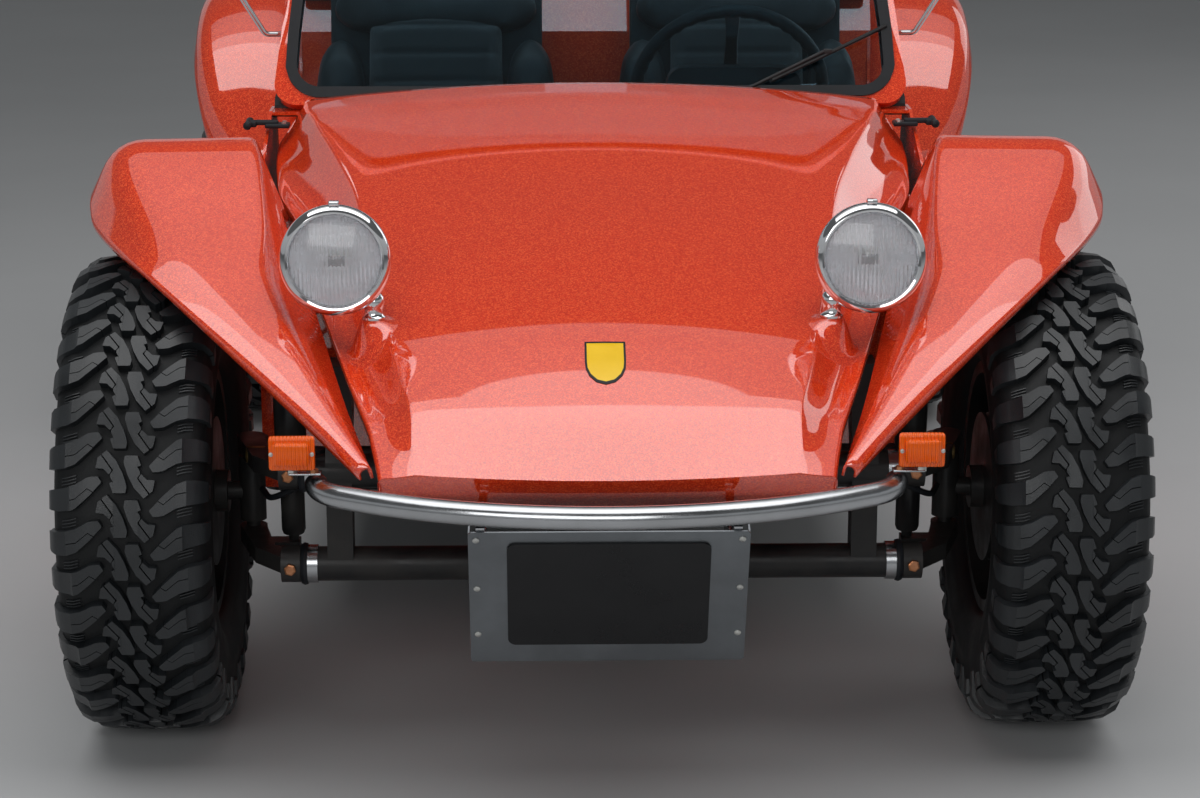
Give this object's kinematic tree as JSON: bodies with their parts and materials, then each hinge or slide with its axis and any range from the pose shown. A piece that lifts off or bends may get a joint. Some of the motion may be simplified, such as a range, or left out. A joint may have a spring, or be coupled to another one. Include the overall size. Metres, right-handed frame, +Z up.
{
  "type": "open two-seat dune buggy",
  "caption": "Open two-seat beach buggy with a moulded body, lifting hood, steering, mud tyres and an open rear engine.",
  "frame": {"origin": "on the floor under the middle of the car's overall length and width", "axes": "the car faces -Y, +X to its left side, +Z up"},
  "size_m": [1.69, 3.382, 1.374],
  "materials": {
    "body_paint": "metal-flake orange-red gloss paint over moulded fibre",
    "chassis_black": "black chassis paint",
    "chrome": "polished chrome",
    "satin_steel": "satin stainless steel",
    "lens_glass": "clear fluted glass",
    "screen_glass": "lightly tinted glass",
    "amber_lens": "amber moulded lens",
    "red_lens": "red moulded lens",
    "black_rubber": "black rubber",
    "tyre_rubber": "tyre rubber",
    "black_plastic": "grained black plastic",
    "plate_black": "bare black plate",
    "seat_cloth": "dark woven cloth with leathercloth sides",
    "cast_alloy": "rough cast alloy",
    "black_tin": "gloss black tinware"
  },
  "bodies": {
    "hood": {"hood": "body_paint", "headlamp_bowls": "chrome", "headlamp_lenses": "lens_glass", "hood_latches": "black_rubber"},
    "knuckle_left": {"knuckle_left": "chassis_black"},
    "knuckle_right": {"knuckle_right": "chassis_black"},
    "track_rod": {"track_rod": "chassis_black"},
    "steering_wheel": {"steering_wheel": "black_plastic"},
    "wheel_front_left": {"tyre_front_left": "tyre_rubber", "rim_front_left": "chassis_black"},
    "wheel_front_right": {"tyre_front_right": "tyre_rubber", "rim_front_right": "chassis_black"},
    "wheel_rear_left": {"tyre_rear_left": "tyre_rubber", "rim_rear_left": "chassis_black"},
    "wheel_rear_right": {"tyre_rear_right": "tyre_rubber", "rim_rear_right": "chassis_black"},
    "chassis": {"body_tub": "body_paint", "fender_front_left": "body_paint", "fender_front_right": "body_paint", "fender_rear_left": "body_paint", "fender_rear_right": "body_paint", "windscreen_frame": "body_paint", "windscreen_rubber": "black_rubber", "windscreen_glass": "screen_glass", "wiper": "black_plastic", "mirrors": "chrome", "dashboard": "black_plastic", "seat_left": "seat_cloth", "seat_right": "seat_cloth", "levers": "black_plastic", "roll_bar": "chassis_black", "floor_pan": "chassis_black", "front_beam": "chassis_black", "front_arms": "chassis_black", "shock_absorbers": "chassis_black", "steering_gear": "chassis_black", "rear_axle": "chassis_black", "engine_block": "cast_alloy", "fan_shroud": "black_tin", "exhaust": "chassis_black", "bumper_front": "satin_steel", "bumper_rear": "satin_steel", "plate_holder": "satin_steel", "bare_plates": "plate_black", "hood_hinges": "chassis_black", "indicators": "amber_lens", "tail_lamps": "red_lens"}
  },
  "joints": [
    {"name": "steer_left", "type": "hinge", "parent": "chassis", "child": "knuckle_left", "pos_m": [0.56, -0.998, 0.381], "axis": [0, 0, 1], "range_deg": [-25, 25]},
    {"name": "steer_right", "type": "hinge", "parent": "chassis", "child": "knuckle_right", "pos_m": [-0.56, -0.998, 0.381], "axis": [0, 0, 1], "range_deg": [-25, 25]},
    {"name": "track_rod_slide", "type": "slide", "parent": "chassis", "child": "track_rod", "axis": [1, 0, 0], "range_m": [-0.0525, 0.0525]},
    {"name": "steering_wheel_turn", "type": "hinge", "parent": "chassis", "child": "steering_wheel", "pos_m": [0.268, -0.013, 0.884], "axis": [0, 0.9063, 0.4226], "range_deg": [-350, 350]},
    {"name": "hood_open", "type": "hinge", "parent": "chassis", "child": "hood", "pos_m": [0, -1.468, 0.53], "axis": [1, 0, 0], "range_deg": [0, 45]},
    {"name": "roll_front_left", "type": "hinge", "parent": "knuckle_left", "child": "wheel_front_left", "pos_m": [0.71, -0.998, 0.381], "axis": [1, 0, 0], "continuous": true},
    {"name": "roll_front_right", "type": "hinge", "parent": "knuckle_right", "child": "wheel_front_right", "pos_m": [-0.71, -0.998, 0.381], "axis": [1, 0, 0], "continuous": true},
    {"name": "roll_rear_left", "type": "hinge", "parent": "chassis", "child": "wheel_rear_left", "pos_m": [0.725, 1.034, 0.381], "axis": [1, 0, 0], "continuous": true},
    {"name": "roll_rear_right", "type": "hinge", "parent": "chassis", "child": "wheel_rear_right", "pos_m": [-0.725, 1.034, 0.381], "axis": [1, 0, 0], "continuous": true}
  ],
  "couplings": [
    {"joint": "steer_right", "follows": "steer_left", "ratio": 1},
    {"joint": "track_rod_slide", "follows": "steer_left", "m_per_rad": -0.12},
    {"joint": "steering_wheel_turn", "follows": "steer_left", "ratio": 14}
  ]
}
